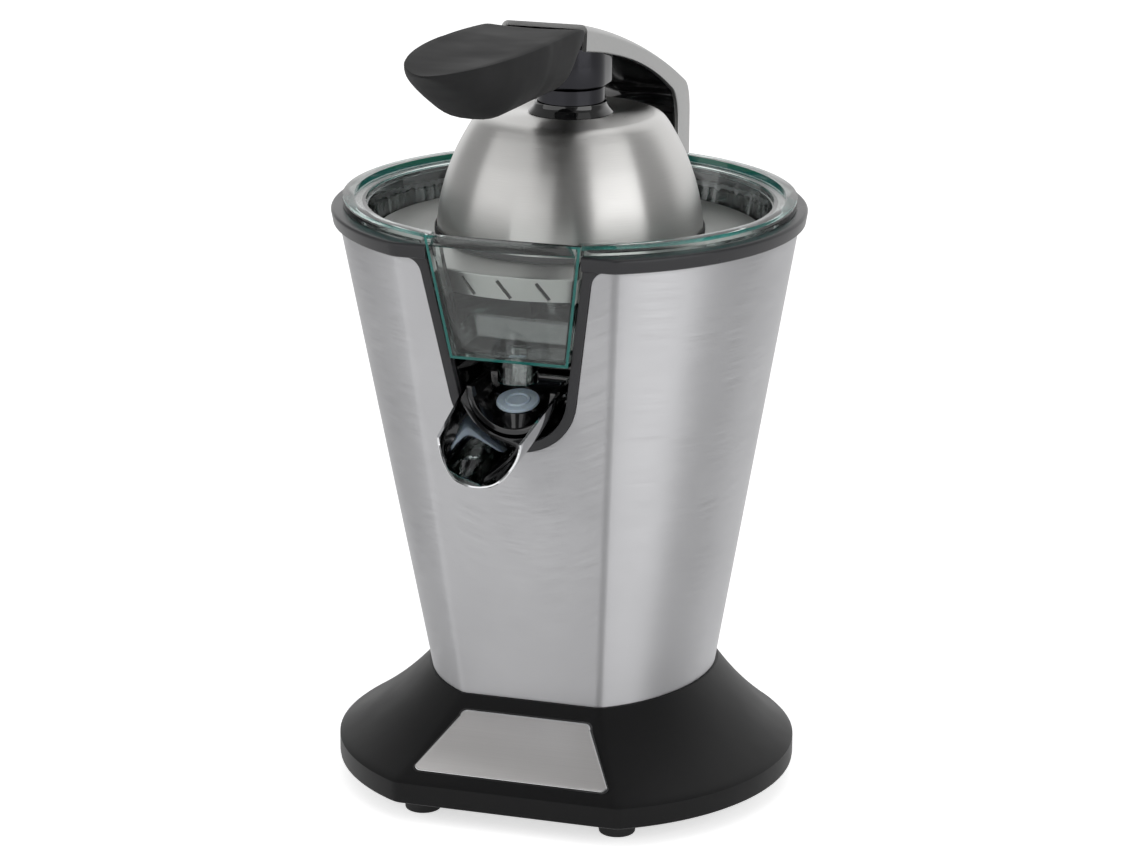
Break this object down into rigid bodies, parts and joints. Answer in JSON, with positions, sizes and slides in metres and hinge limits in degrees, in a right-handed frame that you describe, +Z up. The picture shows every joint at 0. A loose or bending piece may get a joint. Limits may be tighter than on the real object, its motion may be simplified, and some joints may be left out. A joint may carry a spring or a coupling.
{
  "type": "citrus_press_juicer",
  "caption": "Lever citrus press with a flat-fronted steel body, clear juice bowl, hinged press dome, flip spout and geared drive.",
  "frame": {"origin": "Centre of the footprint of the whole press, on the table under the feet. The juicing axis stands 35.5 mm behind it.", "axes": "+Z up, -Y to the spout and grip side, +X to the right of a person who looks at the back."},
  "size_m": [0.208, 0.317, 0.3546],
  "materials": {
    "base_black": "dark base plastic, satin gloss",
    "foot_rubber": "soft rubber",
    "badge_steel": "brushed bare plate with a bright bevel",
    "body_steel": "brushed stainless sheet",
    "trim_grey": "dark grey metallic trim",
    "gloss_black": "black high-gloss plastic",
    "frame_steel": "zinc-plated or bright steel",
    "gearbox_plastic": "glass-filled dark plastic",
    "gear_plastic": "natural acetal",
    "bush_bronze": "sintered bronze",
    "motor_steel": "zinc-plated motor can",
    "magnet_ferrite": "ferrite and carbon",
    "copper_winding": "copper winding and segments",
    "pinion_brass": "machined brass",
    "clear_bowl": "clear plastic, faint green at the edges",
    "strainer_steel": "pressed stainless",
    "reamer_steel": "polished stainless",
    "dome_steel": "fine brushed, soft gloss",
    "liner_black": "dark moulded liner",
    "arm_silver": "satin silver lacquer",
    "grip_black": "soft-touch black",
    "spout_chrome": "bright chrome",
    "plug_silicone": "translucent silicone"
  },
  "bodies": {
    "chassis": {"base_shell": "base_black", "base_plate": "base_black", "rubber_feet": "foot_rubber", "badge_plate": "badge_steel", "body_shell": "body_steel", "rim_trim": "trim_grey", "inner_housing": "gloss_black", "support_columns": "frame_steel", "gearbox_housing": "gearbox_plastic", "gearbox_cover": "gearbox_plastic", "idler_axle": "frame_steel", "output_bushes": "bush_bronze", "shaft_bush": "bush_bronze", "shaft_seal": "foot_rubber", "return_spring": "frame_steel", "switch_body": "gearbox_plastic", "motor_can": "motor_steel", "motor_magnets": "magnet_ferrite", "motor_end_cap": "gearbox_plastic", "motor_brushes": "magnet_ferrite", "motor_bushes": "bush_bronze", "juice_bowl": "clear_bowl", "strainer": "strainer_steel", "hinge_bracket": "gloss_black", "hinge_pin": "frame_steel", "cord_gland": "foot_rubber", "terminal_block": "gear_plastic", "base_screws": "frame_steel", "bracket_screws": "frame_steel", "gearbox_screws": "frame_steel", "motor_screws": "frame_steel"},
    "lever": {"press_dome": "dome_steel", "dome_liner": "liner_black", "dome_gasket": "foot_rubber", "dome_cap": "gloss_black", "neck_sleeve": "gloss_black", "lever_arm": "arm_silver", "arm_cover": "gloss_black", "grip": "grip_black", "hinge_bushes": "gear_plastic", "grip_screws": "frame_steel", "dome_screw": "frame_steel"},
    "spout_flap": {"spout": "spout_chrome", "spout_insert": "gloss_black", "spout_pins": "frame_steel", "valve_plug": "plug_silicone"},
    "press_slider": {"thrust_washer": "gear_plastic", "switch_pusher": "gearbox_plastic"},
    "reamer_drive": {"drive_shaft": "frame_steel", "reamer": "reamer_steel"},
    "switch_key": {"switch_button": "gearbox_plastic"},
    "output_wheel": {"output_gear": "gear_plastic"},
    "idler": {"idler_gear": "gear_plastic"},
    "rotor": {"armature": "copper_winding", "commutator": "copper_winding", "motor_shaft": "frame_steel", "pinion": "pinion_brass"}
  },
  "joints": [
    {"name": "lever_lift", "type": "hinge", "parent": "chassis", "child": "lever", "pos_m": [0, 0.1475, 0.25], "axis": [-1, 0, 0], "range_deg": [0, 70]},
    {"name": "spout_flip", "type": "hinge", "parent": "chassis", "child": "spout_flap", "pos_m": [0, -0.0245, 0.19], "axis": [-1, 0, 0], "range_deg": [0, 18]},
    {"name": "press_travel", "type": "slide", "parent": "chassis", "child": "press_slider", "axis": [0, 0, 1], "range_m": [-0.0025, 0], "stiffness_N_per_m": 3000, "springref_m": 0.003, "deforming": ["return_spring"]},
    {"name": "output_spin", "type": "hinge", "parent": "chassis", "child": "output_wheel", "pos_m": [0, 0.0325, 0.165], "axis": [0, 0, 1], "continuous": true},
    {"name": "idler_spin", "type": "hinge", "parent": "chassis", "child": "idler", "pos_m": [0.03128, 0.05056, 0.165], "axis": [0, 0, 1], "continuous": true},
    {"name": "rotor_spin", "type": "hinge", "parent": "chassis", "child": "rotor", "pos_m": [0.01128, 0.0744, 0.12], "axis": [0, 0, 1], "continuous": true},
    {"name": "reamer_spin", "type": "hinge", "parent": "press_slider", "child": "reamer_drive", "pos_m": [0, 0.0325, 0.22], "axis": [0, 0, 1], "continuous": true},
    {"name": "button_travel", "type": "slide", "parent": "chassis", "child": "switch_key", "axis": [0, 0, 1], "range_m": [-0.0025, 0]}
  ],
  "couplings": [
    {"joint": "idler_spin", "follows": "output_spin", "ratio": -5},
    {"joint": "rotor_spin", "follows": "output_spin", "ratio": 20.833},
    {"joint": "reamer_spin", "follows": "output_spin", "ratio": 1},
    {"joint": "button_travel", "follows": "press_travel", "ratio": 1}
  ]
}
